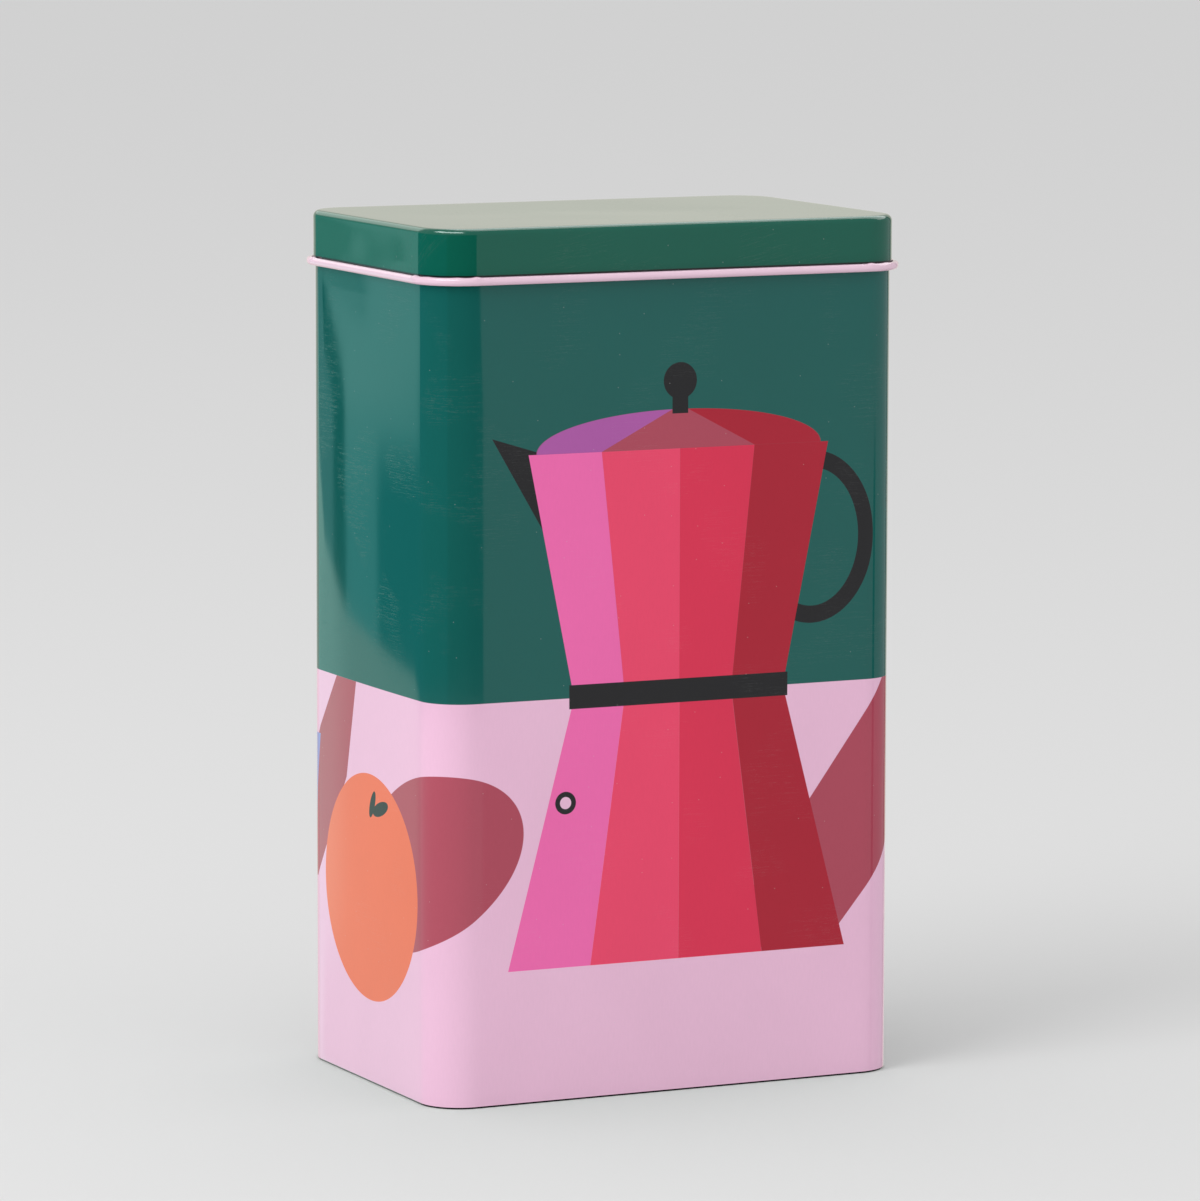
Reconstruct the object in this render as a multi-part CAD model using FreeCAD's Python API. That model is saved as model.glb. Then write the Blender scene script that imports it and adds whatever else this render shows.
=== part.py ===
import FreeCAD, Part
import math
import os

from FreeCAD import Vector

# Rectangular slip-lid tin in printed tinplate, modelled closed, in millimetres.
# Origin: centre of the footprint on the resting plane. +X runs along the wide front, +Z is up,
# and the front faces -Y. Three pressed sheet parts: the wrapped body with its lock seam,
# the bottom panel clinched in the body's lower hem, and the drawn lid.

# Driving dimensions
BODY_WIDTH = 118.0
BODY_DEPTH = 77.0
BODY_CORNER_RADIUS = 9.6
CLOSED_HEIGHT = 200.5
SHEET = 0.25

# Lid
LID_CLEARANCE = 0.25
LID_REST_GAP = 0.1
LID_TOP_RADIUS = 1.5
LID_DEPTH = 12.7
LID_PANEL_INSET = 4.0

# Rolled edges: the lid's rolls outwards, the body's rolls inwards
CURL_DIAMETER = 1.85
CURL_TURN = 290.0

# Lower hem, which folds inwards and holds the bottom panel's flange
HEM_GAP = 0.05
HEM_FOLD_RADIUS = 0.2
HEM_RETURN_TOP = 3.2

# Bottom panel, with a shallow raised centre
PANEL_HEIGHT = 4.0
PANEL_FLANGE_FOOT = 0.45
PANEL_BEND_RADIUS = 0.6
PANEL_STEP_INSET = 4.5
PANEL_STEP_RISE = 0.8
PANEL_STEP_ANGLE = 50.0
PANEL_STEP_SHOULDER = 1.0

# Lock seam on the back wall, close to the right-hand back corner
SEAM_START_X = 42.0
SEAM_OVERLAP = 4.3
SEAM_HOOK = 3.6
SEAM_JOG_CLEARANCE = 0.35
SEAM_JOG_RADIUS = 0.4
SEAM_JOG_ANGLE = 75.0
SEAM_FOOT = 6.0
SEAM_TOP_BELOW_RIM = 3.6

# Worked out from the driving dimensions
HALF_WIDTH = BODY_WIDTH / 2
HALF_DEPTH = BODY_DEPTH / 2
CURL_RADIUS = (CURL_DIAMETER - SHEET) / 2
LAYER_PITCH = SHEET + HEM_GAP
RIM_TOP = CLOSED_HEIGHT - SHEET - LID_REST_GAP
LID_OUTSET = LID_CLEARANCE + SHEET
LID_FOOT = CLOSED_HEIGHT - LID_DEPTH
SEAM_TOP = RIM_TOP - SEAM_TOP_BELOW_RIM
UP = Vector(0, 0, 1)


def line(length):
    """A straight stretch of sheet."""
    return ("line", length)


def bend(radius, degrees):
    """A bend about a centreline radius; a positive angle turns left."""
    return ("bend", radius, degrees)


def step(radius, degrees, rise):
    """A bend away, a slope and a bend back, which shift the sheet sideways by rise."""
    turn = math.radians(abs(degrees))
    slope = (rise - 2 * radius * (1 - math.cos(turn))) / math.sin(turn)
    return [bend(radius, degrees), line(slope), bend(radius, -degrees)]


def step_length(radius, degrees, rise):
    """How far a step runs along the sheet's first direction."""
    turn = math.radians(abs(degrees))
    slope = (rise - 2 * radius * (1 - math.cos(turn))) / math.sin(turn)
    return 2 * radius * math.sin(turn) + slope * math.cos(turn)


def direction(degrees):
    return Vector(math.cos(math.radians(degrees)), math.sin(math.radians(degrees)), 0)


def sheet_section(start, heading, moves):
    """The face that the sheet fills in the XY plane along a centreline of tangent lines and bends."""
    left_side = []
    right_side = []
    place = start
    caps = [across(place, heading)]
    for move in moves:
        left = direction(heading + 90)
        if move[0] == "line":
            end = place + direction(heading) * move[1]
            for edges, offset in ((left_side, left), (right_side, left * -1)):
                shift = offset * (SHEET / 2)
                edges.append(Part.LineSegment(place + shift, end + shift).toShape())
        else:
            radius, turn = move[1:]
            sense = math.copysign(1, turn)
            centre = place + left * (sense * radius)
            spokes = [direction(heading - sense * 90 + share * turn) for share in (0, 0.5, 1)]
            for edges, side in ((left_side, 1), (right_side, -1)):
                reach = radius - sense * side * SHEET / 2
                edges.append(Part.Arc(*[centre + spoke * reach for spoke in spokes]).toShape())
            heading += turn
            end = centre + spokes[-1] * radius
        place = end
    caps.append(across(place, heading))
    return Part.Face(Part.Wire(Part.__sortEdges__(left_side + right_side + caps)))


def across(place, heading):
    """The cut edge of the sheet, square to its heading."""
    shift = direction(heading + 90) * (SHEET / 2)
    return Part.LineSegment(place - shift, place + shift).toShape()


def ring(section, half_width, half_depth, corner_radius):
    """Sweeps a section round a rounded rectangle. The section's x is measured out from that outline
    and its y is height."""
    upright = section.copy()
    upright.translate(Vector(corner_radius, 0, 0))
    upright.rotate(Vector(0, 0, 0), Vector(1, 0, 0), 90)
    reach_x = half_width - corner_radius
    reach_y = half_depth - corner_radius
    pieces = []
    for quarter in range(4):
        sign_x = 1 if quarter in (0, 3) else -1
        sign_y = 1 if quarter in (0, 1) else -1
        centre = Vector(sign_x * reach_x, sign_y * reach_y, 0)
        placed = upright.copy()
        placed.rotate(Vector(0, 0, 0), UP, 90 * quarter)
        placed.translate(centre)
        run = 2 * (reach_x if quarter % 2 else reach_y)
        pieces.append(placed.revolve(centre, UP, 90))
        pieces.append(placed.extrude(direction(90 * quarter - 90) * run))
    return pieces[0].fuse(pieces[1:])


def plate(half_width, half_depth, corner_radius, middle_height):
    """A flat rounded rectangle of sheet about a middle height."""
    reach_x = half_width - corner_radius
    reach_y = half_depth - corner_radius
    edges = []
    for quarter in range(4):
        sign_x = 1 if quarter in (0, 3) else -1
        sign_y = 1 if quarter in (0, 1) else -1
        centre = Vector(sign_x * reach_x, sign_y * reach_y, middle_height - SHEET / 2)
        spokes = [centre + direction(90 * quarter + turn) * corner_radius for turn in (0, 45, 90)]
        run = 2 * (reach_x if quarter % 2 else reach_y)
        before = spokes[0] + direction(90 * quarter - 90) * run
        edges.append(Part.LineSegment(before, spokes[0]).toShape())
        edges.append(Part.Arc(*spokes).toShape())
    return Part.Face(Part.Wire(edges)).extrude(UP * SHEET)


def body_wall():
    """The wrapped sheet between the hem and the rim, with its two edges hooked in a lock seam."""
    corner = bend(BODY_CORNER_RADIUS - SHEET / 2, 90)
    side = line(BODY_DEPTH - 2 * BODY_CORNER_RADIUS)
    corner_x = HALF_WIDTH - BODY_CORNER_RADIUS
    fold_x = SEAM_START_X - SEAM_OVERLAP
    jog = (SEAM_JOG_RADIUS, -SEAM_JOG_ANGLE, 3 * LAYER_PITCH)
    jog_end_x = fold_x - SEAM_JOG_CLEARANCE - step_length(*jog)
    start = Vector(SEAM_START_X - SEAM_HOOK, HALF_DEPTH - SHEET / 2 - LAYER_PITCH, 0)
    moves = [
        line(SEAM_HOOK),
        bend(LAYER_PITCH, -180),
        line(SEAM_OVERLAP + SEAM_JOG_CLEARANCE),
        *step(*jog),
        line(jog_end_x + corner_x),
        corner,
        side,
        corner,
        line(2 * corner_x),
        corner,
        side,
        corner,
        line(corner_x - fold_x),
        bend(LAYER_PITCH, 180),
        line(SEAM_HOOK),
    ]
    section = sheet_section(start, 0, moves)
    section.translate(UP * SEAM_FOOT)
    return section.extrude(UP * (SEAM_TOP - SEAM_FOOT))


def body_hem():
    """The foot of the body, folded inwards and back up."""
    fold_height = SHEET / 2 + HEM_FOLD_RADIUS
    start = Vector(-SHEET / 2 - 2 * LAYER_PITCH, HEM_RETURN_TOP, 0)
    moves = [
        line(HEM_RETURN_TOP - fold_height),
        bend(HEM_FOLD_RADIUS, 90),
        line(2 * LAYER_PITCH - 2 * HEM_FOLD_RADIUS),
        bend(HEM_FOLD_RADIUS, 90),
        line(SEAM_FOOT - fold_height),
    ]
    return ring(sheet_section(start, -90, moves), HALF_WIDTH, HALF_DEPTH, BODY_CORNER_RADIUS)


def body_rim():
    """The top of the body, rolled inwards."""
    moves = [line(RIM_TOP - CURL_DIAMETER / 2 - SEAM_TOP), bend(CURL_RADIUS, CURL_TURN)]
    section = sheet_section(Vector(-SHEET / 2, SEAM_TOP, 0), 90, moves)
    return ring(section, HALF_WIDTH, HALF_DEPTH, BODY_CORNER_RADIUS)


def make_body_shell():
    return body_wall().fuse([body_hem(), body_rim()]).removeSplitter()


def make_bottom_panel():
    """A shallow pan whose flange points down into the hem, with a raised centre."""
    flange = -SHEET / 2 - LAYER_PITCH
    rise = (PANEL_BEND_RADIUS, -PANEL_STEP_ANGLE, PANEL_STEP_RISE)
    moves = [
        line(PANEL_HEIGHT - PANEL_BEND_RADIUS - PANEL_FLANGE_FOOT),
        bend(PANEL_BEND_RADIUS, 90),
        line(PANEL_STEP_INSET + flange - PANEL_BEND_RADIUS),
        *step(*rise),
        line(PANEL_STEP_SHOULDER),
    ]
    section = sheet_section(Vector(flange, PANEL_FLANGE_FOOT, 0), 90, moves)
    border = ring(section, HALF_WIDTH, HALF_DEPTH, BODY_CORNER_RADIUS)
    inset = PANEL_STEP_INSET + step_length(*rise) + PANEL_STEP_SHOULDER
    centre = plate(
        HALF_WIDTH - inset,
        HALF_DEPTH - inset,
        BODY_CORNER_RADIUS - inset,
        PANEL_HEIGHT + PANEL_STEP_RISE,
    )
    return border.fuse(centre).removeSplitter()


def make_lid():
    """A drawn cap: flat top, small top radius, skirt and a rolled foot that stands out."""
    half_width = HALF_WIDTH + LID_OUTSET
    half_depth = HALF_DEPTH + LID_OUTSET
    corner_radius = BODY_CORNER_RADIUS + LID_OUTSET
    top_middle = CLOSED_HEIGHT - SHEET / 2
    moves = [
        line(LID_PANEL_INSET - LID_TOP_RADIUS),
        bend(LID_TOP_RADIUS - SHEET / 2, -90),
        line(LID_DEPTH - LID_TOP_RADIUS - CURL_DIAMETER / 2),
        bend(CURL_RADIUS, CURL_TURN),
    ]
    section = sheet_section(Vector(-LID_PANEL_INSET, top_middle, 0), 0, moves)
    border = ring(section, half_width, half_depth, corner_radius)
    inset = LID_PANEL_INSET
    top = plate(half_width - inset, half_depth - inset, corner_radius - inset, top_middle)
    return border.fuse(top).removeSplitter()


def main():
    os.makedirs("parts", exist_ok=True)
    parts = {
        "body_shell": make_body_shell(),
        "bottom_panel": make_bottom_panel(),
        "lid": make_lid(),
    }
    for name, shape in parts.items():
        shape.exportStep(f"parts/{name}.step")
        box = shape.optimalBoundingBox(False, False)
        print(
            f"{name}: solids {len(shape.Solids)}, valid {shape.isValid()}, "
            f"volume {shape.Volume:.1f} mm3, z {box.ZMin:.3f} to {box.ZMax:.3f}, "
            f"{box.XLength:.2f} x {box.YLength:.2f}"
        )


main()
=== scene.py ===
import math

import bmesh
import bpy
from mathutils import Matrix, Vector, noise


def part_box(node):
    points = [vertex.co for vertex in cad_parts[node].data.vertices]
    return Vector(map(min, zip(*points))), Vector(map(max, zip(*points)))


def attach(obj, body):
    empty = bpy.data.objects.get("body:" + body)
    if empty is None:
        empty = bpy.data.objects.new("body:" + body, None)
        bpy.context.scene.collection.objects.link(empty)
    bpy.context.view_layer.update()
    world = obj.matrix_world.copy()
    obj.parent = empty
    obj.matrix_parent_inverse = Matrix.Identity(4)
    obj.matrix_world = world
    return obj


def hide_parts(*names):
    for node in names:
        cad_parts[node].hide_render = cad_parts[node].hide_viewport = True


# Looks of a rectangular slip-lid coffee tin. Every piece is pressed sheet, swept round a rounded
# rectangle from a section of the sheet. Lengths are in metres.

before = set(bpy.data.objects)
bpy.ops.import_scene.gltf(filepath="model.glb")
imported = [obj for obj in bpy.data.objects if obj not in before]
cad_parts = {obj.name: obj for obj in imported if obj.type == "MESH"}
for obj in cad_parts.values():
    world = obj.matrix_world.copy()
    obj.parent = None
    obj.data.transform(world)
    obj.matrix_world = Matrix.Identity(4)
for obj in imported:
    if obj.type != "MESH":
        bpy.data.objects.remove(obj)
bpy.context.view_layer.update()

MM = 0.001
BODY_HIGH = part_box("body_shell")[1]
PANEL_LOW, PANEL_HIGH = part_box("bottom_panel")
LID_LOW, LID_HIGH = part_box("lid")

# The sheet and its folds
SHEET = 0.25 * MM
CORNER_RADIUS = 9.6 * MM
CURL_DIAMETER = 1.85 * MM
CURL_RADIUS = (CURL_DIAMETER - SHEET) / 2
CURL_TURN = 290
LAYER_PITCH = 0.3 * MM
HEM_FOLD_RADIUS = 0.2 * MM
HEM_RETURN_TOP = 3.2 * MM
LID_TOP_RADIUS = 1.5 * MM
LID_PANEL_INSET = 4.0 * MM
PANEL_BEND_RADIUS = 0.6 * MM
PANEL_STEP_INSET = 4.5 * MM
PANEL_STEP_RADIUS = 0.6 * MM
PANEL_STEP_RISE = 0.8 * MM
PANEL_STEP_ANGLE = 50
PANEL_STEP_SHOULDER = 1.0 * MM

# The lock seam on the back wall: a fine groove outside and a four-layer band inside
SEAM_GROOVE_X = 37.1 * MM
SEAM_GROOVE_WIDTH = 0.3 * MM
SEAM_GROOVE_DEPTH = 0.2 * MM
SEAM_BAND_X = (36.9 * MM, 42.4 * MM)
SEAM_BAND_RISE = 0.9 * MM
SEAM_Z = (6.0 * MM, BODY_HIGH.z - 3.6 * MM)
SEAM_RAMP = 0.4 * MM

# How far the flat panels bow out, and where the wall starts and stops bowing. Above its foot the bow
# grows over BOW_GROWTH. Under the lid it loses BOW_TOP_LOSS of itself, and inside the lid it ends.
FRONT_BOW = 0.30 * MM
SIDE_BOW = 0.36 * MM
BOW_Z = (3.5 * MM, LID_LOW.z - 1.0 * MM)
BOW_GROWTH = 45 * MM
BOW_TOP_LOSS = 0.55
BOW_TOP_STRETCH = 32 * MM
BOW_END_STRETCH = 6 * MM

# The faint unevenness of pressed sheet
WALL_RIPPLE = 0.012 * MM
WALL_RIPPLE_LENGTH = 24 * MM
WALL_RIPPLE_FADE = 20 * MM
LID_RIPPLE = 0.05 * MM
LID_RIPPLE_LENGTH = 13 * MM
LID_DISH = 0.16 * MM
LID_DISH_UNEVEN = 0.10 * MM
LID_DISH_LENGTH = 26 * MM
PANEL_CROWN = 0.12 * MM

# Puckers where the curl turns a corner: distance past the corner's end, height and width
CURL_PUCKERS = ((0.4 * MM, 0.20 * MM, 0.8 * MM), (4.6 * MM, 0.09 * MM, 1.1 * MM))

BODY_HALF_X = BODY_HIGH.x
BODY_HALF_Y = BODY_HIGH.y
LID_HALF_X = LID_HIGH.x - CURL_DIAMETER + SHEET
LID_HALF_Y = LID_HIGH.y - CURL_DIAMETER + SHEET
LID_CORNER_RADIUS = CORNER_RADIUS + LID_HALF_X - BODY_HALF_X

# How finely the sheet is divided
STATION_SPACING = 3.3 * MM
SEAM_CLEARANCE = 0.3 * MM
CORNER_STEPS = 16
LID_CORNER_STEPS = 34
LID_FINE_STRETCH = 3.0 * MM
LID_FINE_STEPS = 7
LID_LOOPS = 14
PANEL_LOOPS = 12
SHARP_ANGLE = 38

PRINT, PLAIN = 0, 1


def smooth(low, high, value):
    """0 below low, 1 above high and an S-curve between."""
    share = min(1.0, max(0.0, (value - low) / (high - low)))
    return share * share * (3 - 2 * share)


def between(low, high, ramp, value):
    """1 from low to high, fading to 0 over a ramp outside each."""
    return smooth(low - ramp, low, value) * (1 - smooth(high, high + ramp, value))


def bell(middle, width, value):
    return math.exp(-(((value - middle) / width) ** 2))


# Sheet geometry


class Outline:
    """A rounded rectangle, walked anticlockwise from the middle of its front."""

    def __init__(self, half_x, half_y, radius):
        self.half_x, self.half_y, self.radius = half_x, half_y, radius
        self.run_x = half_x - radius
        self.run_y = half_y - radius
        self.arc = math.pi / 2 * radius
        lengths = [self.run_x]
        for side in (2 * self.run_y, 2 * self.run_x, 2 * self.run_y, self.run_x):
            lengths += [self.arc, side]
        self.starts = [0.0]
        for length in lengths:
            self.starts.append(self.starts[-1] + length)
        self.length = self.starts[-1]
        # The middles of the front, right, back and left panels, and every corner's two tangents
        self.middles = [0, self.length / 4, self.length / 2, self.length * 3 / 4]
        self.tangents = self.starts[1:-1]

    def at(self, distance):
        """The point and outward normal at a distance along the outline."""
        distance %= self.length
        part = 0
        while part < 8 and distance > self.starts[part + 1]:
            part += 1
        along = distance - self.starts[part]
        quarter = (part + 1) // 2 % 4
        if part % 2:
            angle = math.radians(90 * (quarter - 2)) + along / self.radius
            normal = Vector((math.cos(angle), math.sin(angle), 0))
            sign_x = 1 if quarter in (1, 2) else -1
            sign_y = 1 if quarter in (2, 3) else -1
            centre = Vector((sign_x * self.run_x, sign_y * self.run_y, 0))
            return centre + normal * self.radius, normal
        heading = math.radians(90 * quarter)
        ahead = Vector((math.cos(heading), math.sin(heading), 0))
        normal = Vector((ahead.y, -ahead.x, 0))
        reach = self.half_x if quarter % 2 else self.half_y
        offset = along if part == 0 else along - (self.run_y if quarter % 2 else self.run_x)
        return normal * reach + ahead * offset, normal

    def stations(self, spacing, corner_steps, fine=0.0, fine_steps=0):
        """Distances to put a row of points at, alike in every quarter. Fine steps lie on the flats
        beside each corner."""
        places = []
        for part in range(9):
            start, end = self.starts[part], self.starts[part + 1]
            if part % 2:
                places += spread(start, end, corner_steps)
                continue
            inner_start = start if part == 0 else start + fine
            inner_end = end if part == 8 else end - fine
            if fine_steps and part != 0:
                places += spread(start, inner_start, fine_steps)
            half = 1 if part in (0, 8) else 2
            steps = half * max(1, round((inner_end - inner_start) / spacing / half))
            places += spread(inner_start, inner_end, steps)
            if fine_steps and part != 8:
                places += spread(inner_end, end, fine_steps)
        return places


def spread(start, end, steps):
    """Evenly spaced values from start up to, but without, end."""
    return [start + (end - start) * step / steps for step in range(steps)]


def line(length, steps=1):
    return ("line", length, steps)


def bend(radius, degrees, steps):
    """A bend about a centreline radius; a positive angle turns left."""
    return ("bend", radius, degrees, steps)


def step_moves(radius, degrees, rise, steps):
    """A bend away, a slope and a bend back, which shift the sheet sideways by rise."""
    turn = math.radians(abs(degrees))
    slope = (rise - 2 * radius * (1 - math.cos(turn))) / math.sin(turn)
    return [bend(radius, degrees, steps), line(slope), bend(radius, -degrees, steps)]


def section(start, heading, moves):
    """Both faces of the sheet along a centreline in the plane of outward distance and height.
    Returns two lists of (out, height, length along the sheet), for the left and the right face."""
    place = Vector(start)
    angle = math.radians(heading)
    along = 0.0
    left, right = [], []

    def mark():
        side = Vector((-math.sin(angle), math.cos(angle))) * (SHEET / 2)
        left.append((*(place + side), along))
        right.append((*(place - side), along))

    mark()
    for move in moves:
        if move[0] == "line":
            length, steps = move[1:]
            for _ in range(steps):
                place = place + Vector((math.cos(angle), math.sin(angle))) * (length / steps)
                along += length / steps
                mark()
            continue
        radius, degrees, steps = move[1:]
        turn = math.radians(degrees) / steps
        chord = 2 * radius * math.sin(abs(turn) / 2)
        for _ in range(steps):
            angle += turn / 2
            place = place + Vector((math.cos(angle), math.sin(angle))) * chord
            angle += turn / 2
            along += radius * abs(turn)
            mark()
    return left, right


class Skin:
    """Collects one piece's points and faces, with a finish and blank coordinates for each face.
    The blank coordinates are the flat sheet's: length round the tin, and height on its wall."""

    def __init__(self):
        self.points, self.faces, self.finishes, self.blank = [], [], [], []

    def add(self, points):
        first = len(self.points)
        self.points += points
        return list(range(first, len(self.points)))

    def face(self, corners, coordinates, finish):
        kept = [k for k in range(len(corners)) if corners[k] not in corners[:k]]
        if len(kept) >= 3:
            self.faces.append([corners[k] for k in kept])
            self.blank.append([coordinates[k] for k in kept])
            self.finishes.append(finish)

    def strip(self, row, next_row, across, next_across, lengths, finish):
        """A closed band of faces between two rows of points that go once round the outline."""
        count = len(row)
        for k in range(count):
            after = (k + 1) % count
            corners = [row[k], row[after], next_row[after], next_row[k]]
            ends = (lengths[k], lengths[k + 1])
            where = [
                (ends[0], across),
                (ends[1], across),
                (ends[1], next_across),
                (ends[0], next_across),
            ]
            self.face(corners, where, finish)

    def cap(self, row, lengths, across, finish):
        """Closes a flat loop by joining its front half to its back half."""
        count = len(row)
        for k in range(-count // 4, count // 4):
            ends = [k % count, (k + 1) % count]
            ends += [(count // 2 - k - 1) % count, (count // 2 - k) % count]
            self.face([row[e] for e in ends], [(lengths[e], across) for e in ends], finish)

    def piece(self, name, materials):
        mesh = bpy.data.meshes.new(name)
        mesh.from_pydata(self.points, [], self.faces)
        layer = mesh.uv_layers.new(name="blank")
        flat = [value for face in self.blank for corner in face for value in corner]
        layer.data.foreach_set("uv", flat)
        mesh.polygons.foreach_set("material_index", self.finishes)
        for material in materials:
            mesh.materials.append(material)
        solid = bmesh.new()
        solid.from_mesh(mesh)
        bmesh.ops.recalc_face_normals(solid, faces=solid.faces)
        solid.to_mesh(mesh)
        solid.free()
        mesh.shade_smooth()
        mesh.set_sharp_from_angle(angle=math.radians(SHARP_ANGLE))
        piece = bpy.data.objects.new(name, mesh)
        bpy.context.scene.collection.objects.link(piece)
        return piece


def sweep(skin, outline, places, rows, shape, finish):
    """Rows of points round the outline, each at an outward distance and a height, joined in bands.
    Returns the index rows."""
    lengths = [*places, outline.length]
    made = []
    for out, height, along in rows:
        points = []
        for place in places:
            point, normal = outline.at(place)
            push, lift = shape(place, out, height)
            points.append(point + normal * (out + push) + Vector((0, 0, height + lift)))
        made.append(skin.add(points))
    for k in range(len(rows) - 1):
        skin.strip(made[k], made[k + 1], rows[k][2], rows[k + 1][2], lengths, finish)
    return made


def close_edge(skin, outline, places, edge, across, finish):
    """The cut edge between the two faces' last rows."""
    lengths = [*places, outline.length]
    skin.strip(edge[0], edge[1], across, across + SHEET, lengths, finish)


# The three pressed pieces


def bow(outline, place, height):
    """How far a flat panel of the wall stands out. It fades out at its four edges, but at the top it does
    so only inside the lid."""
    foot, lid_foot = BOW_Z
    rise = smooth(foot, foot + BOW_GROWTH, height)
    rise *= 1 - BOW_TOP_LOSS * smooth(lid_foot - BOW_TOP_STRETCH, lid_foot, height)
    rise *= 1 - smooth(lid_foot, lid_foot + BOW_END_STRETCH, height)
    for k, middle in enumerate(outline.middles):
        half = (outline.run_x, outline.run_y)[k % 2]
        off = (place - middle + outline.length / 2) % outline.length - outline.length / 2
        if abs(off) < half:
            return (FRONT_BOW, SIDE_BOW)[k % 2] * (1 - (off / half) ** 2) * rise
    return 0.0


def ripple(outline, place, height, size, amount):
    """The faint unevenness that pressed sheet has, alike on both its faces."""
    point, _ = outline.at(place)
    return amount * noise.noise(Vector((point.x, point.y, height)) / size)


def wall_push(outline, place, height):
    """How far a place on the wall stands out in all."""
    foot, lid_foot = BOW_Z
    fade = smooth(foot, foot + WALL_RIPPLE_FADE, height)
    fade *= 1 - smooth(lid_foot - WALL_RIPPLE_FADE, lid_foot, height)
    uneven = ripple(outline, place, height, WALL_RIPPLE_LENGTH, WALL_RIPPLE)
    return bow(outline, place, height) + fade * uneven


def back_place(outline, x):
    """The distance along the outline of a place on the back panel."""
    return outline.length / 2 - x


def seam_rise(height):
    """1 where the lock seam runs, and 0 above and below it."""
    return between(*SEAM_Z, SEAM_RAMP, height)


def make_body(print_finish, plain_finish):
    """The wrapped body: hem, wall with its lock seam, and rolled rim."""
    outline = Outline(BODY_HALF_X, BODY_HALF_Y, CORNER_RADIUS)
    groove = back_place(outline, SEAM_GROOVE_X)
    band = [back_place(outline, x) for x in reversed(SEAM_BAND_X)]
    fine = [groove + SEAM_GROOVE_WIDTH * share for share in (-1, -0.5, -0.25, 0, 0.25, 0.5, 1)]
    fine += [edge + SEAM_RAMP * share for edge in band for share in (-1, -0.5, 0, 0.5, 1)]
    coarse = outline.stations(STATION_SPACING, CORNER_STEPS)
    places = [p for p in coarse if all(abs(p - f) > SEAM_CLEARANCE for f in fine)]
    places = sorted(set(places + fine))

    fold_height = SHEET / 2 + HEM_FOLD_RADIUS
    rim_foot = BODY_HIGH.z - CURL_DIAMETER / 2
    moves = [
        line(HEM_RETURN_TOP - fold_height, 3),
        bend(HEM_FOLD_RADIUS, 90, 5),
        line(2 * LAYER_PITCH - 2 * HEM_FOLD_RADIUS),
        bend(HEM_FOLD_RADIUS, 90, 5),
    ]
    hem_rows = sum(move[-1] for move in moves)
    moves += [
        line(SEAM_Z[0] - SEAM_RAMP - fold_height, 2),
        line(SEAM_RAMP, 2),
        line(SEAM_Z[1] - SEAM_Z[0], 56),
        line(SEAM_RAMP, 2),
        line(rim_foot - SEAM_Z[1] - SEAM_RAMP),
        bend(CURL_RADIUS, CURL_TURN, 24),
    ]
    start = (-SHEET / 2 - 2 * LAYER_PITCH, HEM_RETURN_TOP)
    inside, outside = section(start, -90, moves)
    level = outside[hem_rows][1] - outside[hem_rows][2]
    inside, outside = [[(*p[:2], p[2] + level) for p in face] for face in (inside, outside)]

    def print_shape(place, out, height):
        on_wall = smooth(-1.5 * SHEET, -0.5 * SHEET, out)
        cut = SEAM_GROOVE_DEPTH * bell(groove, SEAM_GROOVE_WIDTH / 2, place) * seam_rise(height)
        return on_wall * (wall_push(outline, place, height) - cut), 0.0

    def plain_shape(place, out, height):
        on_wall = smooth(-2.5 * SHEET, -1.5 * SHEET, out)
        layers = SEAM_BAND_RISE * between(*band, SEAM_RAMP, place) * seam_rise(height)
        return on_wall * (wall_push(outline, place, height) - layers), 0.0

    skin = Skin()
    outer = sweep(skin, outline, places, outside, print_shape, PRINT)
    inner = sweep(skin, outline, places, inside, plain_shape, PLAIN)
    for end in (0, -1):
        close_edge(skin, outline, places, (outer[end], inner[end]), outside[end][2], PLAIN)
    piece = skin.piece("tin_body", [print_finish, plain_finish])
    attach(piece, "tin_body")
    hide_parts("body_shell")


def fill_plate(skin, outline, places, edge_row, edge_out, height_at, loops, across, finish):
    """Closes a flat middle with loops that shrink towards the long centre line."""
    lengths = [*places, outline.length]
    spine = outline.half_x - outline.half_y
    rows = [edge_row]
    for step in range(1, loops + 1):
        share = step / (loops + 1)
        points = []
        for place in places:
            point, normal = outline.at(place)
            rim = point + normal * edge_out
            middle = Vector((max(-spine, min(spine, rim.x)), 0, 0))
            spot = rim.lerp(middle, share)
            points.append(Vector((spot.x, spot.y, height_at(spot))))
        rows.append(skin.add(points))
    for k in range(loops):
        skin.strip(rows[k], rows[k + 1], across, across, lengths, finish)
    skin.cap(rows[-1], lengths, across, finish)


def curl_bumps(outline, place, out, height, centre_height):
    """Small puckers where the curl turns each corner, on its upper side."""
    spoke = Vector((out - CURL_RADIUS + SHEET / 2, height - centre_height))
    if out < SHEET / 2 or spoke.length > CURL_DIAMETER:
        return 0.0, 0.0
    spoke.normalize()
    rise = 0.0
    for k, tangent in enumerate(outline.tangents):
        inward = 1 if k % 2 == 0 else -1
        for past, pucker, width in CURL_PUCKERS:
            rise += pucker * bell(tangent + inward * past, width, place)
    return tuple(spoke * (rise * smooth(0.08, 0.75, spoke.y)))


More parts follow.
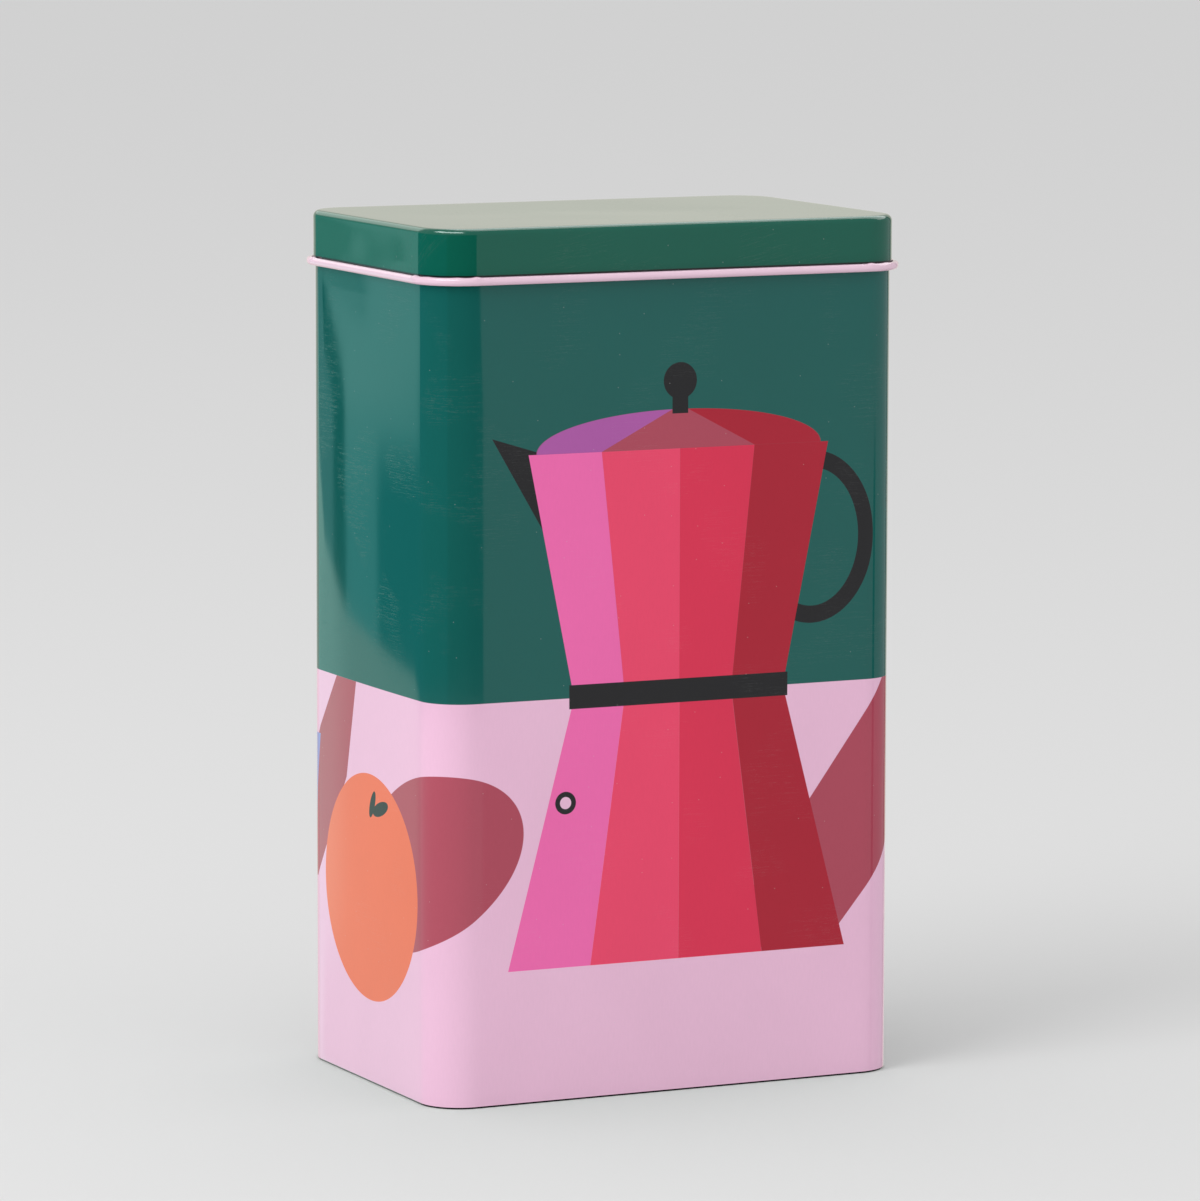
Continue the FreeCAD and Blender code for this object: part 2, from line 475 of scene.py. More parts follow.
def make_lid(print_finish, inside_finish):
    """The drawn lid: top, rounded edge, skirt and outward curl."""
    outline = Outline(LID_HALF_X, LID_HALF_Y, LID_CORNER_RADIUS)
    places = outline.stations(STATION_SPACING, LID_CORNER_STEPS, LID_FINE_STRETCH, LID_FINE_STEPS)
    top_middle = LID_HIGH.z - SHEET / 2
    curl_centre = LID_LOW.z + CURL_DIAMETER / 2
    moves = [
        line(LID_PANEL_INSET - LID_TOP_RADIUS, 3),
        bend(LID_TOP_RADIUS - SHEET / 2, -90, 10),
        line(LID_HIGH.z - LID_TOP_RADIUS - curl_centre, 8),
        bend(CURL_RADIUS, CURL_TURN, 30),
    ]
    outside, inside = section((-LID_PANEL_INSET, top_middle), 0, moves)

    def shape(place, out, height):
        skirt = smooth(curl_centre, curl_centre + 3 * MM, height) * smooth(-2 * SHEET, -SHEET, out)
        fade = 1 - smooth(LID_HIGH.z - 4 * MM, LID_HIGH.z - LID_TOP_RADIUS, height)
        push = skirt * fade * ripple(outline, place, height, LID_RIPPLE_LENGTH, LID_RIPPLE)
        bump_out, bump_up = curl_bumps(outline, place, out, height, curl_centre)
        return push + bump_out, bump_up

    def dish(level):
        """The top sinks a hair towards its middle, and is never quite even."""
        def height_at(spot):
            reach = (1 - (spot.x / LID_HALF_X) ** 2) * (1 - (spot.y / LID_HALF_Y) ** 2)
            uneven = noise.noise(Vector((spot.x, spot.y, 0)) / LID_DISH_LENGTH)
            return level - reach ** 2 * (LID_DISH + LID_DISH_UNEVEN * uneven)
        return height_at

    skin = Skin()
    outer = sweep(skin, outline, places, outside, shape, PRINT)
    inner = sweep(skin, outline, places, inside, shape, PLAIN)
    close_edge(skin, outline, places, (outer[-1], inner[-1]), outside[-1][2], PLAIN)
    for row, level, finish in ((outer[0], LID_HIGH.z, PRINT), (inner[0], LID_HIGH.z - SHEET, PLAIN)):
        fill_plate(skin, outline, places, row, -LID_PANEL_INSET, dish(level), LID_LOOPS, 0.0, finish)
    piece = skin.piece("tin_lid", [print_finish, inside_finish])
    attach(piece, "lid")
    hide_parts("lid")


def make_bottom_panel(finish):
    """The pressed bottom: an upright flange, and a floor with a raised middle."""
    outline = Outline(BODY_HALF_X, BODY_HALF_Y, CORNER_RADIUS)
    places = outline.stations(STATION_SPACING, CORNER_STEPS)
    flange = -SHEET / 2 - LAYER_PITCH
    flat_top = PANEL_HIGH.z - SHEET / 2 - PANEL_STEP_RISE
    moves = [
        line(flat_top - PANEL_BEND_RADIUS - PANEL_LOW.z, 3),
        bend(PANEL_BEND_RADIUS, 90, 8),
        line(PANEL_STEP_INSET + flange - PANEL_BEND_RADIUS, 2),
        *step_moves(PANEL_STEP_RADIUS, -PANEL_STEP_ANGLE, PANEL_STEP_RISE, 5),
        line(PANEL_STEP_SHOULDER),
    ]
    under, over = section((flange, PANEL_LOW.z), 90, moves)

    def still(place, out, height):
        return 0.0, 0.0

    def crown(level):
        """The floor sinks a hair towards its middle."""
        def height_at(spot):
            reach = (1 - (spot.x / BODY_HALF_X) ** 2) * (1 - (spot.y / BODY_HALF_Y) ** 2)
            return level - reach ** 2 * PANEL_CROWN
        return height_at

    skin = Skin()
    for face in (under, over):
        rows = sweep(skin, outline, places, face, still, PRINT)
        edge_out, level, across = face[-1]
        fill_plate(skin, outline, places, rows[-1], edge_out, crown(level), PANEL_LOOPS, across, PRINT)
        if face is under:
            under_rows = rows
    close_edge(skin, outline, places, (under_rows[0], rows[0]), 0.0, PRINT)
    piece = skin.piece("tin_bottom_panel", [finish])
    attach(piece, "tin_body")
    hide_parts("bottom_panel")


# Materials

INK = {
    "green": "#145c56",
    "lid_green": "#0b5b4a",
    "pink": "#f0c0dc",
    "inner_pink": "#efcddf",
    "hot_pink": "#f56cb2",
    "coral": "#f0476c",
    "red": "#df2f52",
    "dark_red": "#ae1930",
    "maroon": "#b0495c",
    "orange": "#f0704c",
    "black": "#1b1a1c",
    "violet": "#b05aa8",
    "lavender": "#8f97d6",
}
# The first metal colour is the body's bare foot, partly its own dark edge and partly painted shade where
# the hem meets the floor.
FOOT_SHADE_METAL = (0.09, 0.08, 0.08, 1)
GREY_METAL = (0.66, 0.65, 0.62, 1)
WARM_METAL = (0.78, 0.76, 0.70, 1)
DUST = (0.62, 0.66, 0.64, 1)
BOUNCE_GREY = (0.42, 0.42, 0.42, 1)

# The height in millimetres where the body's print stops over a dark painted shade line at its foot, and of
# the painted shade line over the lid's curl
PRINT_FOOT = 0.42
CREASE_SHADE = 0.5

# How strongly scratches and dust specks show, and how many of the dust's cells are empty
SCRATCH_SHARE = 0.10
SPECK_SHARE = 0.28
EMPTY_CELLS = 0.78

# The picture, in millimetres: the sheet that it covers, and the height of its horizon
PICTURE_LEFT, PICTURE_RIGHT = -230, 160
PICTURE_FOOT, PICTURE_HEAD = -20, 230
GROUND_LINE = 93.0


def ink(name):
    """A named ink as linear colour."""
    code = INK[name].lstrip("#")
    channels = [int(code[k : k + 2], 16) / 255 for k in (0, 2, 4)]
    return [c / 12.92 if c <= 0.04045 else ((c + 0.055) / 1.055) ** 2.4 for c in channels] + [1.0]


class Nodes:
    """Short names for the shader nodes that the materials are made of."""

    def __init__(self, owner):
        """The owner is a new material or world."""
        self.owner = owner
        owner.use_nodes = True
        self.tree = owner.node_tree
        self.tree.nodes.clear()

    def add(self, kind, settings=None, **inputs):
        node = self.tree.nodes.new(kind)
        for setting, value in (settings or {}).items():
            setattr(node, setting, value)
        for socket, value in inputs.items():
            self.set(node.inputs[socket.replace("_", " ")], value)
        return node

    def set(self, socket, value):
        if isinstance(value, bpy.types.NodeSocket):
            self.tree.links.new(value, socket)
        else:
            socket.default_value = value

    def maths(self, operation, *values, clamp=False):
        node = self.add("ShaderNodeMath", {"operation": operation, "use_clamp": clamp})
        for k, value in enumerate(values):
            self.set(node.inputs[k], value)
        return node.outputs[0]

    def vector(self, operation, *values):
        node = self.add("ShaderNodeVectorMath", {"operation": operation})
        for k, value in enumerate(values):
            self.set(node.inputs[k], value)
        return node.outputs["Value" if operation in ("LENGTH", "DOT_PRODUCT") else "Vector"]

    def noise(self, where, scale, detail=2.0, roughness=0.5):
        """Soft noise from 0 to 1; scale is how many waves there are to a millimetre on each axis."""
        spread_out = self.vector("MULTIPLY", where, scale)
        return self.add(
            "ShaderNodeTexNoise", Vector=spread_out, Scale=1.0, Detail=detail, Roughness=roughness
        ).outputs["Fac"]

    def ramp(self, value, low, high):
        """0 below low and 1 above high."""
        return self.add(
            "ShaderNodeMapRange",
            {"interpolation_type": "SMOOTHSTEP"},
            Value=value, From_Min=low, From_Max=high,
        ).outputs["Result"]

    def mix(self, share, first, second):
        node = self.add("ShaderNodeMix", {"data_type": "RGBA", "clamp_factor": True})
        self.set(node.inputs["Factor"], share)
        for socket, value in zip([s for s in node.inputs if s.type == "RGBA"], (first, second)):
            self.set(socket, value)
        return node.outputs[2]

    def blank(self):
        """The place on the flat sheet, in millimetres: length round the tin, and height."""
        where = self.add("ShaderNodeUVMap", {"uv_map": "blank"}).outputs["UV"]
        return self.vector("MULTIPLY", where, (1 / MM, 1 / MM, 0))

    def solid_place(self):
        """The place in the tin's own frame, in millimetres."""
        where = self.add("ShaderNodeTexCoord").outputs["Object"]
        return self.vector("MULTIPLY", where, (1 / MM, 1 / MM, 1 / MM))

    def finish(self, colour, roughness, heights, **constants):
        """The surface shader. Heights are (height, metres at full height) bumps laid on each other."""
        normal = None
        for height, distance in heights:
            bump = self.add("ShaderNodeBump", Height=height, Distance=distance, Strength=1.0)
            if normal:
                self.set(bump.inputs["Normal"], normal)
            normal = bump.outputs["Normal"]
        shader = self.add("ShaderNodeBsdfPrincipled", Base_Color=colour, Roughness=roughness, **constants)
        if normal:
            self.set(shader.inputs["Normal"], normal)
        output = self.add("ShaderNodeOutputMaterial")
        self.set(output.inputs["Surface"], shader.outputs["BSDF"])
        return self.owner


class Picture:
    """Flat shapes printed one over another on the blank, in millimetres. Its u runs round the tin from
    the middle of the front, and its v is height."""

    EDGE = 0.08

    def __init__(self, nodes, where, ground):
        self.nodes, self.where, self.colour = nodes, where, ground

    def polygon(self, *corners):
        """How far inside a convex outline a place is; the corners go anticlockwise."""
        inside = None
        for (ax, ay), (bx, by) in zip(corners, corners[1:] + corners[:1]):
            length = math.hypot(bx - ax, by - ay)
            inward = (-(by - ay) / length, (bx - ax) / length, 0)
            reach = self.nodes.vector("DOT_PRODUCT", self.where, inward)
            side = self.nodes.maths("SUBTRACT", reach, ax * inward[0] + ay * inward[1])
            inside = side if inside is None else self.nodes.maths("MINIMUM", inside, side)
        return inside

    def block(self, left, right, low, high):
        """How far inside an upright rectangle a place is."""
        return self.polygon((left, low), (right, low), (right, high), (left, high))

    def ellipse(self, centre, radii, turn=0):
        """How far inside an ellipse a place is, near enough; turn is in degrees, anticlockwise."""
        off = self.nodes.vector("SUBTRACT", self.where, (*centre, 0))
        if turn:
            rotate = self.nodes.add("ShaderNodeVectorRotate", {"rotation_type": "Z_AXIS"}, Vector=off)
            self.nodes.set(rotate.inputs["Angle"], -math.radians(turn))
            off = rotate.outputs["Vector"]
        scaled = self.nodes.vector("MULTIPLY", off, (1 / radii[0], 1 / radii[1], 0))
        outward = self.nodes.vector("LENGTH", scaled)
        return self.nodes.maths("MULTIPLY", self.nodes.maths("SUBTRACT", 1.0, outward), min(radii))

    def both(self, first, second):
        """Inside both shapes."""
        return self.nodes.maths("MINIMUM", first, second)

    def without(self, first, second):
        """Inside the first shape and outside the second."""
        return self.nodes.maths("MINIMUM", first, self.nodes.maths("MULTIPLY", second, -1.0))

    def cover(self, inside):
        """1 inside a shape and 0 outside it, with a soft edge."""
        return self.nodes.maths("MULTIPLY_ADD", inside, 1 / self.EDGE, 0.5, clamp=True)

    def print(self, name, *shapes):
        """Prints shapes in one ink over what is there."""
        for shape in shapes:
            self.colour = self.nodes.mix(self.cover(shape), self.colour, ink(name))


def draw_shadows(picture):
    """Shadows that the drawn things cast on the pink ground, all falling up and to the right."""
    ground = picture.block(PICTURE_LEFT, PICTURE_RIGHT, PICTURE_FOOT, GROUND_LINE)
    shadows = [
        picture.polygon((10, 32), (44, 32), (60, 56), (92, GROUND_LINE + 1), (56, GROUND_LINE + 1)),
        picture.ellipse((-67, 55), (31, 19), 24),
        picture.polygon((-150, 44), (-124, 44), (-106, 70), (-100, 94), (-114, 94), (-122, 80)),
        picture.ellipse((121, 38), (22, 11), 20),
    ]
    picture.print("maroon", *[picture.both(ground, shadow) for shadow in shadows])


def draw_fruit(picture, centre, radius):
    """A plain round fruit with a short stalk."""
    x, y = centre
    picture.print("orange", picture.ellipse(centre, (radius, radius)))
    stalk_x, stalk_y = x + 0.06 * radius, y + 0.74 * radius
    stalk = picture.ellipse((stalk_x, stalk_y), (0.05 * radius, 0.13 * radius), -24)
    leaf_centre = (stalk_x + 0.17 * radius, stalk_y - 0.02 * radius)
    leaf = picture.ellipse(leaf_centre, (0.17 * radius, 0.06 * radius), 18)
    picture.print("black", stalk, leaf)


def draw_cup(picture):
    """A plain cup with a ring handle, on the back."""
    grip = (-170, 56)
    base, brim = 30, 78
    ring = picture.without(picture.ellipse(grip, (12, 13)), picture.ellipse(grip, (8, 9)))
    picture.print("lavender", ring, picture.polygon((-160, base), (-130, base), (-122, brim), (-168, brim)))
    picture.print("violet", picture.polygon((-160, base), (-149, base), (-153, brim), (-168, brim)))


def draw_pot(picture):
    """A plain faceted stovetop coffee pot: base, waistband, upper body, domed cap, spout and handle."""
    middle = 1.5
    base_z, waist_low, waist_high, rim_z = 31.0, 90.5, 96.0, 149.0
    base, waist, rim = 43.0, 27.0, 38.0
    left_ridge, right_ridge = -0.52, 0.5
    facets = (
        ("hot_pink", -1, left_ridge),
        ("coral", left_ridge, 0),
        ("red", 0, right_ridge),
        ("dark_red", right_ridge, 1),
    )

    def band(low, low_half, high, high_half, left=-1, right=1):
        """Part of a flared band, from left to right in shares of its half width."""
        return picture.polygon(
            (middle + left * low_half, low),
            (middle + right * low_half, low),
            (middle + right * high_half, high),
            (middle + left * high_half, high),
        )

    grip = (middle + rim - 4, rim_z - 22)
    handle = picture.without(picture.ellipse(grip, (16, 20)), picture.ellipse(grip, (12, 16)))
    picture.print("black", handle)
    lip = middle - rim
    picture.print("black", picture.polygon((lip + 4, rim_z - 18), (lip + 4, rim_z), (lip - 9, rim_z + 4)))
    for name, left, right in facets:
        picture.print(name, band(base_z, base, waist_low + 1, waist, left, right))
        picture.print(name, band(waist_high - 1, waist, rim_z, rim, left, right))

    dome = picture.both(picture.ellipse((middle, rim_z), (rim - 2, 9)), band(rim_z, rim, rim_z + 12, rim))
    picture.print("maroon", dome)
    crown = (middle, rim_z + 10)
    left_corner = (middle + left_ridge * rim, rim_z)
    right_corner = (middle + right_ridge * rim, rim_z)
    light = picture.polygon((middle - rim, rim_z), left_corner, crown, (middle - rim, crown[1]))
    dark = picture.polygon(right_corner, (middle + rim, rim_z), (middle + rim, crown[1]), crown)
    picture.print("violet", picture.both(dome, light))
    picture.print("dark_red", picture.both(dome, dark))
    stem = band(rim_z + 8, 2, rim_z + 13, 2)
    knob = picture.ellipse((middle, rim_z + 15.5), (4.2, 4.2))
    picture.print("black", stem, knob)
    picture.print("black", band(waist_low, waist + 0.8, waist_high, waist + 0.8))
    valve = (middle - 0.76 * base + 4, base_z + 38)
    picture.print("black", picture.ellipse(valve, (2.6, 2.6)))
    picture.print("pink", picture.ellipse(valve, (1.4, 1.4)))


def wear(nodes, where, colour):
    """Uneven ink, a few hairline scratches and fine dust specks. Returns the colour and the scratches."""
    cloud = nodes.noise(where, (0.035, 0.022, 0.0), 3.0)
    grain = nodes.noise(where, (2.2, 0.40, 0.0), 2.0)
    shade = nodes.maths("ADD", nodes.maths("MULTIPLY", cloud, 0.10), nodes.maths("MULTIPLY", grain, 0.05))
    shade = nodes.maths("ADD", shade, 0.925)
    if not isinstance(colour, bpy.types.NodeSocket):
        colour = colour[:3]
    tint = nodes.vector("MULTIPLY", colour, shade)

    thin = nodes.noise(where, (0.05, 1.6, 0.0), 4.0, 0.62)
    ridge = nodes.maths("ABSOLUTE", nodes.maths("SUBTRACT", thin, 0.5))
    line_mask = nodes.maths("SUBTRACT", 1.0, nodes.ramp(ridge, 0.0, 0.005))
    patches = nodes.ramp(nodes.noise(where, (0.055, 0.045, 0.0), 1.0), 0.50, 0.62)
    scratches = nodes.maths("MULTIPLY", line_mask, patches)

    cells = nodes.add(
        "ShaderNodeTexVoronoi", {"voronoi_dimensions": "2D"}, Vector=where, Scale=0.15, Randomness=1.0
    )
    draw = nodes.add("ShaderNodeSeparateColor", Color=cells.outputs["Color"]).outputs[0]
    keep = nodes.ramp(draw, EMPTY_CELLS, EMPTY_CELLS + 0.01)
    dots = nodes.maths("SUBTRACT", 1.0, nodes.ramp(cells.outputs["Distance"], 0.010, 0.022))
    specks = nodes.maths("MULTIPLY", keep, dots)
    faint = nodes.maths("MULTIPLY", scratches, SCRATCH_SHARE)
    marks = nodes.maths("ADD", faint, nodes.maths("MULTIPLY", specks, SPECK_SHARE), clamp=True)
    return nodes.mix(marks, tint, DUST), scratches


def lacquer_finish(nodes, where, colour, bare_and_shaded=None):
    """Clear gloss lacquer over ink: faint orange peel, rolling grain, and duller rubbed patches. Where the
    bare mask is 1 the sheet has no ink and takes a dark metal colour, painted shade. Light that the tin
    throws on the floor is grey."""
    colour, scratches = wear(nodes, where, colour)
    bounced = nodes.add("ShaderNodeLightPath").outputs["Is Diffuse Ray"]
    colour = nodes.mix(bounced, colour, BOUNCE_GREY)
    rubbed = nodes.noise(where, (0.06, 0.04, 0.0), 3.0)
    roughness = nodes.maths("MULTIPLY_ADD", rubbed, 0.035, 0.022)
    roughness = nodes.maths("ADD", roughness, nodes.maths("MULTIPLY", scratches, 0.15))
    peel = nodes.noise(where, (0.30, 0.24, 0.0), 2.0)
    rolling = nodes.noise(where, (1.4, 0.05, 0.0), 2.0)
    heights = ((peel, 0.0009 * MM), (rolling, 0.00022 * MM), (scratches, -0.002 * MM))
    metal = 0.0
    if bare_and_shaded is not None:
        # Painted shade: the bare foot takes a dark metal colour that stands in for the shade line under the
        # hem.
        colour = nodes.mix(bare_and_shaded, colour, FOOT_SHADE_METAL)
        metal = bare_and_shaded
    return nodes.finish(colour, roughness, heights, Metallic=metal, IOR=1.5, Specular_IOR_Level=0.5)


def make_body_print(outline_length, seam_place):
    """The printed outside of the body. The blank's two ends meet at the seam's groove."""
    nodes = Nodes(bpy.data.materials.new("body_print"))
    where = nodes.blank()
    parts = nodes.add("ShaderNodeSeparateXYZ", Vector=where).outputs
    past_seam = nodes.maths("GREATER_THAN", parts["X"], seam_place / MM)
    round_length = nodes.maths("MULTIPLY", past_seam, outline_length / MM)
    around = nodes.maths("SUBTRACT", parts["X"], round_length)
    spot = nodes.add("ShaderNodeCombineXYZ", X=around, Y=parts["Y"]).outputs["Vector"]
    picture = Picture(nodes, spot, ink("pink"))
    draw_shadows(picture)
    picture.print("green", picture.block(PICTURE_LEFT, PICTURE_RIGHT, GROUND_LINE, PICTURE_HEAD))
    draw_cup(picture)
    draw_fruit(picture, (-92.5, 46), 26.5)
    draw_fruit(picture, (101, 36), 15)
    draw_pot(picture)
    # Below the print's foot the sheet is bare, and painted dark as the shade under the hem.
    bare_and_shaded = nodes.maths("SUBTRACT", 1.0, nodes.ramp(parts["Y"], PRINT_FOOT - 0.04, PRINT_FOOT + 0.04))
    return lacquer_finish(nodes, spot, picture.colour, bare_and_shaded)


def flat_place(nodes, where):
    """Two coordinates that never stretch on a lid: x and y together, and y against height."""
    parts = nodes.add("ShaderNodeSeparateXYZ", Vector=where).outputs
    across = nodes.maths("ADD", parts["X"], nodes.maths("MULTIPLY", parts["Y"], 0.83))
    up = nodes.maths("ADD", parts["Z"], parts["Y"])
    up = nodes.maths("SUBTRACT", up, nodes.maths("MULTIPLY", parts["X"], 0.21))
    return nodes.add("ShaderNodeCombineXYZ", X=across, Y=up).outputs["Vector"]


def make_lid_print():
    """The green outside of the lid, with a fine dark line of painted shade where the curl meets the skirt.
    """
    nodes = Nodes(bpy.data.materials.new("lid_print"))
    where = nodes.solid_place()
    height = nodes.add("ShaderNodeSeparateXYZ", Vector=where).outputs["Z"]
    # Painted shade: a fine dark line on the skirt just above the curl, where the crevice lies in shade.
    crease = (LID_LOW.z + CURL_DIAMETER) / MM
    unshaded = nodes.ramp(height, crease + CREASE_SHADE / 2, crease + CREASE_SHADE)
    colour = nodes.mix(unshaded, ink("black"), ink("lid_green"))
    return lacquer_finish(nodes, flat_place(nodes, where), colour)


def make_pink_lacquer():
    """The lid's inside, which its curl turns out to view."""
    nodes = Nodes(bpy.data.materials.new("pink_lacquer"))
    where = nodes.solid_place()
    return lacquer_finish(nodes, flat_place(nodes, where), ink("inner_pink"))


def make_tinplate(name):
    """Bare tinplate under clear lacquer: soft metal with a rolling grain and faint cloudiness."""
    nodes = Nodes(bpy.data.materials.new(name))
    where = nodes.solid_place()
    flat = flat_place(nodes, where)
    cloud = nodes.noise(flat, (0.06, 0.05, 0.0), 4.0)
    rolling = nodes.noise(flat, (2.4, 0.06, 0.0), 3.0)
    shade = nodes.maths("ADD", nodes.maths("MULTIPLY", cloud, 0.5), nodes.maths("MULTIPLY", rolling, 0.5))
    colour = nodes.mix(shade, GREY_METAL, WARM_METAL)
    roughness = nodes.maths("MULTIPLY_ADD", shade, 0.22, 0.20)
    heights = ((rolling, 0.0016 * MM), (cloud, 0.004 * MM))
    return nodes.finish(colour, roughness, heights, Metallic=0.72)


# Studio

# The world's light on surfaces, and the brightest level that its reflected pattern can have
AMBIENT = 0.81
LAMP_LEVEL = 16.0

# Where the reflected pattern's parts meet, in degrees of turn
CARD_EDGE = -67.9
WALL_EDGE = 104
CORNER_EDGE = 118.3

FLOOR_RADIUS = 14.0
KEY_PLACE = (-2.0, -0.6, 1.6)
KEY_TARGET = (0, 0, 0.1)
KEY_SIZE = 1.5
KEY_POWER = 22.5

CAMERA_TURN = math.radians(-25.42)
CAMERA_DIP = math.radians(7.30)
CAMERA_ROLL = math.radians(0.126)
CAMERA_DISTANCE = 1.5934
CAMERA_HEIGHT = 0.31366
CAMERA_SIDE = -0.0002
CAMERA_LENS = 206.1
CAMERA_SENSOR = 36.0


def make_floor():
    """A wide, pale, matt sweep of paper."""
    nodes = Nodes(bpy.data.materials.new("studio_paper"))
    where = nodes.solid_place()
    fibre = nodes.noise(where, (0.9, 0.9, 0.9), 3.0)
    tone = nodes.mix(fibre, (0.775, 0.775, 0.775, 1), (0.785, 0.785, 0.785, 1))
    paper = nodes.finish(tone, 0.95, (), Specular_IOR_Level=0.0)
    mesh = bpy.data.meshes.new("studio_floor")
    shape = bmesh.new()
    bmesh.ops.create_circle(shape, cap_ends=True, radius=FLOOR_RADIUS, segments=96)
    shape.to_mesh(mesh)
    shape.free()
    mesh.materials.append(paper)
    floor = bpy.data.objects.new("studio_floor", mesh)
    bpy.context.scene.collection.objects.link(floor)
    floor.visible_glossy = False


def make_key_light():
    """A soft square lamp at the left. It is left out of reflections, which see the world's own lamp."""
    light = bpy.data.lights.new("key_light", "AREA")
    light.shape = "RECTANGLE"
    light.size = light.size_y = KEY_SIZE
    light.energy = KEY_POWER
    lamp = bpy.data.objects.new("key_light", light)
    bpy.context.scene.collection.objects.link(lamp)
    lamp.location = KEY_PLACE
    aim = Vector(KEY_TARGET) - Vector(KEY_PLACE)
    lamp.rotation_euler = aim.to_track_quat("-Z", "Y").to_euler()
    lamp.visible_glossy = False
    lamp.visible_camera = False


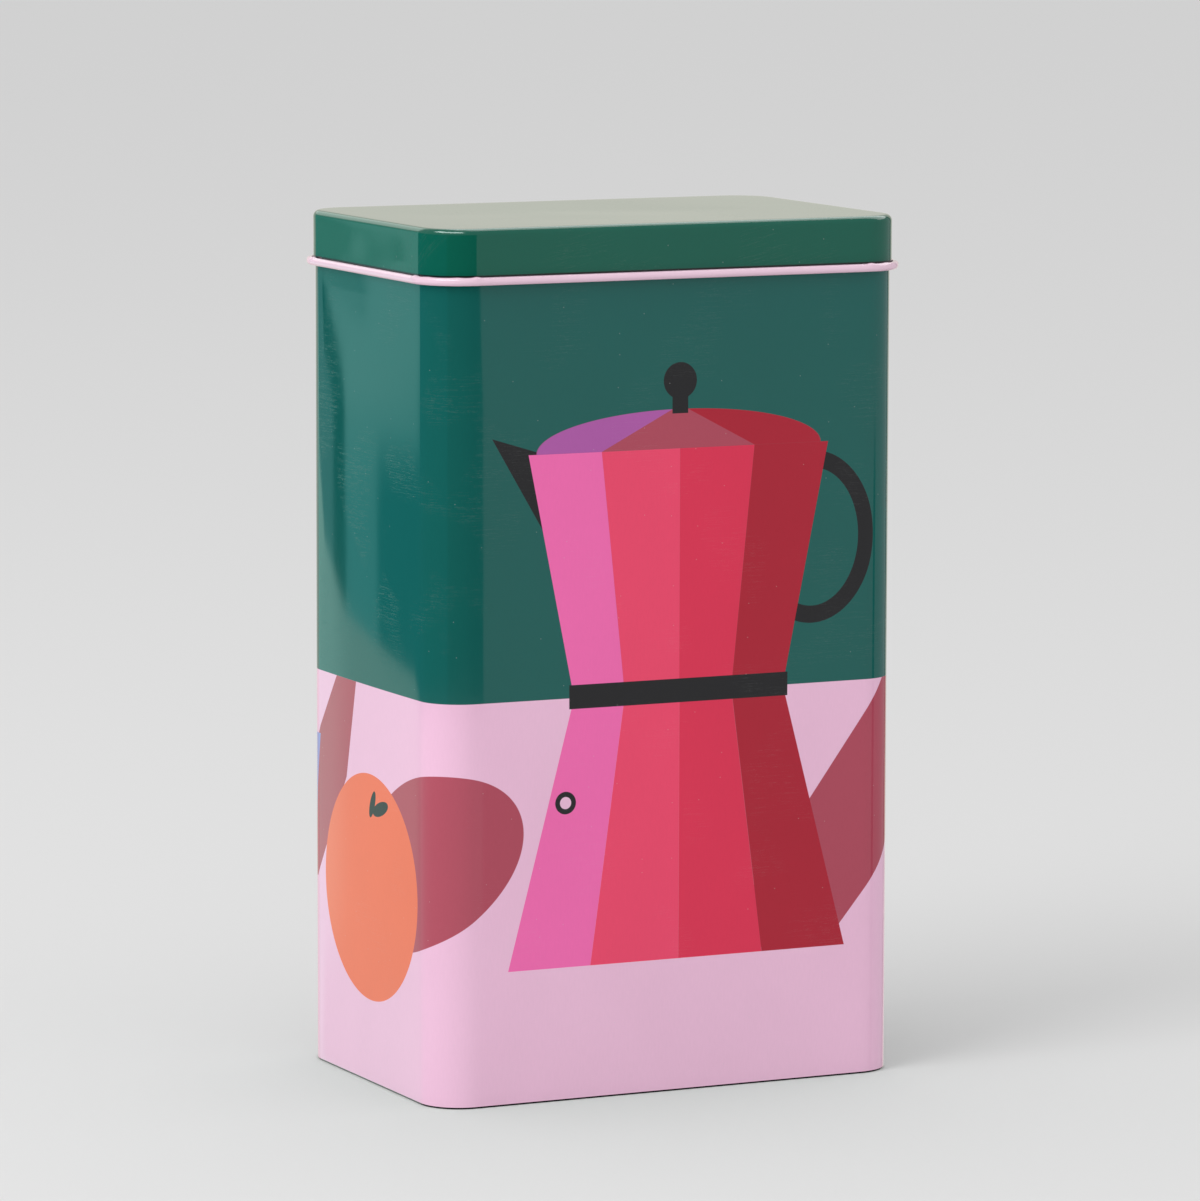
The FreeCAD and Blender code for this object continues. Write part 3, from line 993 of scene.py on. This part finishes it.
def make_world():
    """Even grey light for the surfaces, and for reflections a studio of bright and dark sides. Places in
    it are given by turn, in degrees from +X towards +Y, and by rise above the horizon. Later parts lie
    over earlier ones."""
    world = bpy.data.worlds.new("studio")
    bpy.context.scene.world = world
    nodes = Nodes(world)
    direction = nodes.add("ShaderNodeTexCoord").outputs["Generated"]
    parts = nodes.add("ShaderNodeSeparateXYZ", Vector=direction).outputs
    around = nodes.maths("DEGREES", nodes.maths("ARCTAN2", parts["Y"], parts["X"]))
    turn = nodes.maths("SUBTRACT", nodes.maths("FLOORED_MODULO", nodes.maths("ADD", around, 90), 360), 90)
    rise = nodes.maths("DEGREES", nodes.maths("ARCSINE", parts["Z"]))

    # Each gives 1 where a value lies so, 0 elsewhere, and a soft change between
    def over(value, limit, soft):
        return nodes.ramp(value, limit - soft, limit + soft)

    def under(value, limit, soft):
        return nodes.maths("SUBTRACT", 1.0, over(value, limit, soft))

    def within(value, low, high, soft):
        return nodes.maths("MULTIPLY", over(value, low, soft), under(value, high, soft))

    def both(first, second):
        return nodes.maths("MULTIPLY", first, second)

    def shade(red, green, blue):
        return (red / LAMP_LEVEL, green / LAMP_LEVEL, blue / LAMP_LEVEL, 1)

    def outside(value, low, high, soft):
        return nodes.maths("SUBTRACT", 1.0, within(value, low, high, soft))

    # The left side of the tin sees a wall with a dark gap, a dark shape in front of it, and a table
    wall = nodes.mix(over(rise, -5.9, 0.9), shade(0.16, 0.58, 0.60), shade(0.38, 0.85, 0.81))
    dark_shape = both(over(turn, 114.15, 0.2), under(rise, -6.1, 0.35))
    wall = nodes.mix(dark_shape, wall, shade(0.01, 0.20, 0.24))
    wall = nodes.mix(under(turn, 111.15, 0.05), wall, shade(0.18, 0.40, 0.42))
    wall = nodes.mix(within(turn, 111.15, 112.0, 0.04), wall, shade(0.0, 0.02, 0.03))
    table = nodes.mix(under(turn, 111.6, 1.0), shade(0.56, 0.82, 0.74), shade(0.74, 1.16, 1.04))
    off_corner = nodes.maths("SUBTRACT", turn, 112)
    edge = nodes.maths("MULTIPLY_ADD", nodes.maths("MINIMUM", off_corner, 0), -0.30, -7.4)
    edge = nodes.maths("MULTIPLY_ADD", off_corner, -0.12, edge)
    wall = nodes.mix(under(nodes.maths("SUBTRACT", rise, edge), 0, 0.04), wall, table)

    # The lid's left side, which is flat, sees only a narrow strip over the body's
    strip = nodes.mix(under(turn, 113.50, 0.22), wall, shade(0.20, 0.52, 0.48))
    strip = nodes.mix(within(turn, 113.29, 113.36, 0.02), strip, shade(0.05, 0.26, 0.26))
    wall = nodes.mix(over(rise, -4.58, 0.03), wall, strip)

    front_card = within(turn, CARD_EDGE, 27, 0.1)
    far_wall = within(turn, 33, WALL_EDGE, 1.5)
    left_wall = within(turn, WALL_EDGE, CORNER_EDGE, 0.3)
    dark_corner = within(turn, CORNER_EDGE, 215, 2)
    near_table = both(outside(turn, CARD_EDGE, CORNER_EDGE, 0.3), under(rise, -8.25, 0.15))
    ceiling = both(outside(turn, CARD_EDGE, WALL_EDGE, 1), over(rise, 11, 4))
    card_gap = both(within(turn, -36, -29, 0.5), under(rise, -6, 0.5))
    edge_light = both(within(turn, -18, 74, 5), within(rise, 27, 76, 3))
    side_light = both(within(turn, 78, 110, 2), within(rise, 14, 34, 3))
    corner_lamp = both(within(turn, 158, 262, 6), within(rise, 46, 62, 4))

    seen = shade(0.015, 0.015, 0.015)
    for share, colour in (
        (front_card, shade(0.49, 0.50, 0.51)),
        (far_wall, shade(0.745, 0.725, 0.65)),
        (left_wall, wall),
        (dark_corner, shade(0.02, 0.22, 0.25)),
        (near_table, shade(0.72, 0.74, 0.76)),
        (ceiling, shade(0.45, 0.45, 0.45)),
        (card_gap, shade(0.03, 0.03, 0.03)),
        (under(rise, -25, 2), shade(0.015, 0.015, 0.015)),
        (over(rise, 72, 6), shade(1.2, 1.2, 1.2)),
        (edge_light, shade(3.0, 3.0, 3.0)),
        (side_light, shade(1.5, 1.6, 1.5)),
        (corner_lamp, shade(11.0, 13.0, 12.5)),
    ):
        seen = nodes.mix(share, seen, colour)

    glossy = nodes.add("ShaderNodeLightPath").outputs["Is Glossy Ray"]
    colour = nodes.mix(glossy, (1, 1, 1, 1), seen)
    level = nodes.maths("MULTIPLY_ADD", glossy, LAMP_LEVEL - AMBIENT, AMBIENT)
    background = nodes.add("ShaderNodeBackground", Color=colour, Strength=level)
    output = nodes.add("ShaderNodeOutputWorld")
    nodes.set(output.inputs["Surface"], background.outputs["Background"])


def make_camera():
    """The camera stands off the tin's front left corner and looks a little down."""
    data = bpy.data.cameras.new("camera")
    data.lens = CAMERA_LENS
    data.sensor_width = CAMERA_SENSOR
    data.clip_start, data.clip_end = 0.05, 60.0
    camera = bpy.data.objects.new("camera", data)
    bpy.context.scene.collection.objects.link(camera)
    level = Matrix.Rotation(CAMERA_TURN, 4, "Z")
    tilt = Matrix.Rotation(math.pi / 2 - CAMERA_DIP, 4, "X")
    roll = Matrix.Rotation(CAMERA_ROLL, 4, "Z")
    place = level @ Vector((CAMERA_SIDE, -CAMERA_DISTANCE, CAMERA_HEIGHT))
    camera.matrix_world = Matrix.Translation(place) @ level @ tilt @ roll
    bpy.context.scene.camera = camera


body_outline = Outline(BODY_HALF_X, BODY_HALF_Y, CORNER_RADIUS)
body_print = make_body_print(body_outline.length, back_place(body_outline, SEAM_GROOVE_X))
inside_plate = make_tinplate("inside_tinplate")
make_body(body_print, inside_plate)
make_bottom_panel(inside_plate)
make_lid(make_lid_print(), make_pink_lacquer())

make_floor()
make_world()
make_key_light()
make_camera()
bpy.context.scene.view_settings.view_transform = "Standard"
